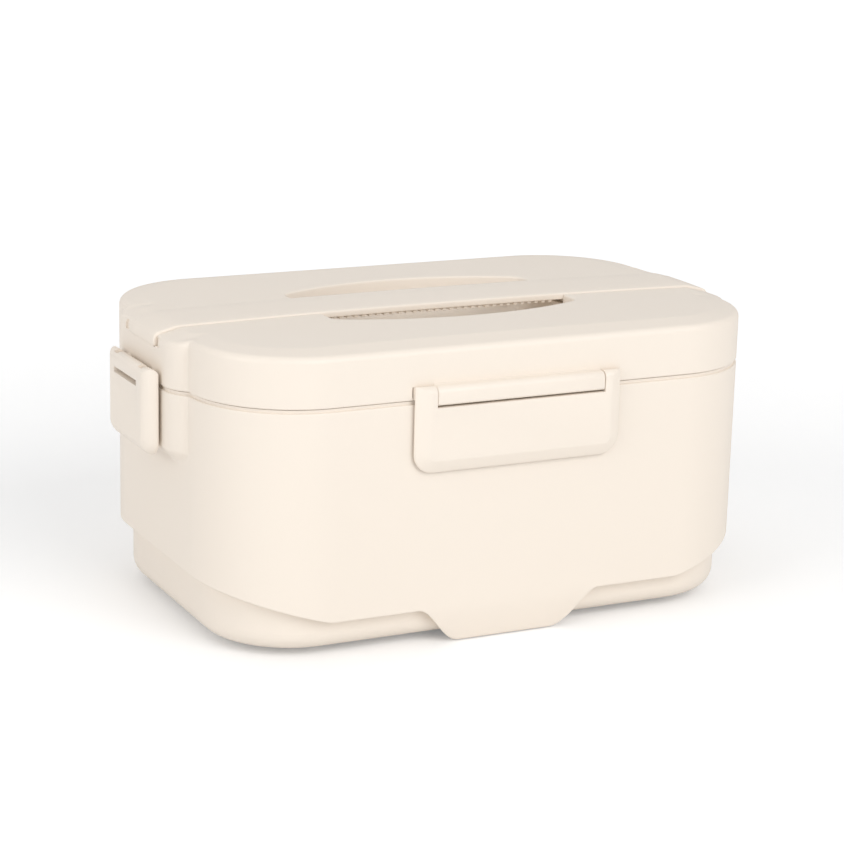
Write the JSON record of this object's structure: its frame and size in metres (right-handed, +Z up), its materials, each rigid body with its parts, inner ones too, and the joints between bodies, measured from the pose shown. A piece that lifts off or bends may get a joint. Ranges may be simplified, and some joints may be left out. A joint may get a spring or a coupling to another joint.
{
  "type": "electric lunch box",
  "caption": "Rounded box with a heated lift-out pot, a rear-hinged lid held by swing latches, a grip strip across finger wells and a recessed base.",
  "frame": {"origin": "middle of the footprint, on the plane that the four rubber feet stand on", "axes": "+Z up, -Y to the front with the wide latch, +X to the right end as seen from the front"},
  "size_m": [0.266, 0.1656, 0.124],
  "materials": {
    "cream_shell": "fine satin grain, cream",
    "liner": "satin",
    "dark_plastic": "satin",
    "wire": "satin",
    "insulation": "fibre board",
    "foot_rubber": "matt",
    "seal": "silicone",
    "pot_steel": "brushed",
    "plate_metal": "rolled",
    "heater_metal": "oxidised",
    "steel": "zinc plated"
  },
  "bodies": {
    "box": {"body_shell": "cream_shell", "base_tray": "cream_shell", "rubber_feet": "foot_rubber", "base_screws": "steel", "inner_liner": "liner", "heating_plate": "plate_metal", "heating_ring": "heater_metal", "heater_clamp": "steel", "insulation_pad": "insulation", "thermostat": "dark_plastic", "thermal_fuse": "insulation", "power_inlet": "dark_plastic", "inlet_pins": "steel", "inner_wires": "wire", "inner_pot": "pot_steel", "hinge_pins": "steel"},
    "lid": {"lid_cover": "cream_shell", "inner_lid": "liner", "lid_gasket": "seal", "steam_vent": "seal", "lid_screws": "steel", "carry_strip": "cream_shell", "strip_grip": "cream_shell", "strip_screws": "steel", "front_latch_pin": "steel", "left_latch_pin": "steel", "right_latch_pin": "steel"},
    "front_latch_body": {"front_latch": "cream_shell"},
    "left_latch_body": {"left_latch": "cream_shell"},
    "right_latch_body": {"right_latch": "cream_shell"}
  },
  "joints": [
    {"name": "lid_hinge", "type": "hinge", "parent": "box", "child": "lid", "pos_m": [0, 0.0794, 0.10035], "axis": [-1, 0, 0], "range_deg": [0, 100]},
    {"name": "front_latch_hinge", "type": "hinge", "parent": "lid", "child": "front_latch_body", "pos_m": [0, -0.08, 0.1041], "axis": [-1, 0, 0], "range_deg": [0, 110]},
    {"name": "left_latch_hinge", "type": "hinge", "parent": "lid", "child": "left_latch_body", "pos_m": [-0.13, 0, 0.1044], "axis": [0, 1, 0], "range_deg": [0, 95]},
    {"name": "right_latch_hinge", "type": "hinge", "parent": "lid", "child": "right_latch_body", "pos_m": [0.13, 0, 0.1044], "axis": [0, -1, 0], "range_deg": [0, 95]}
  ]
}
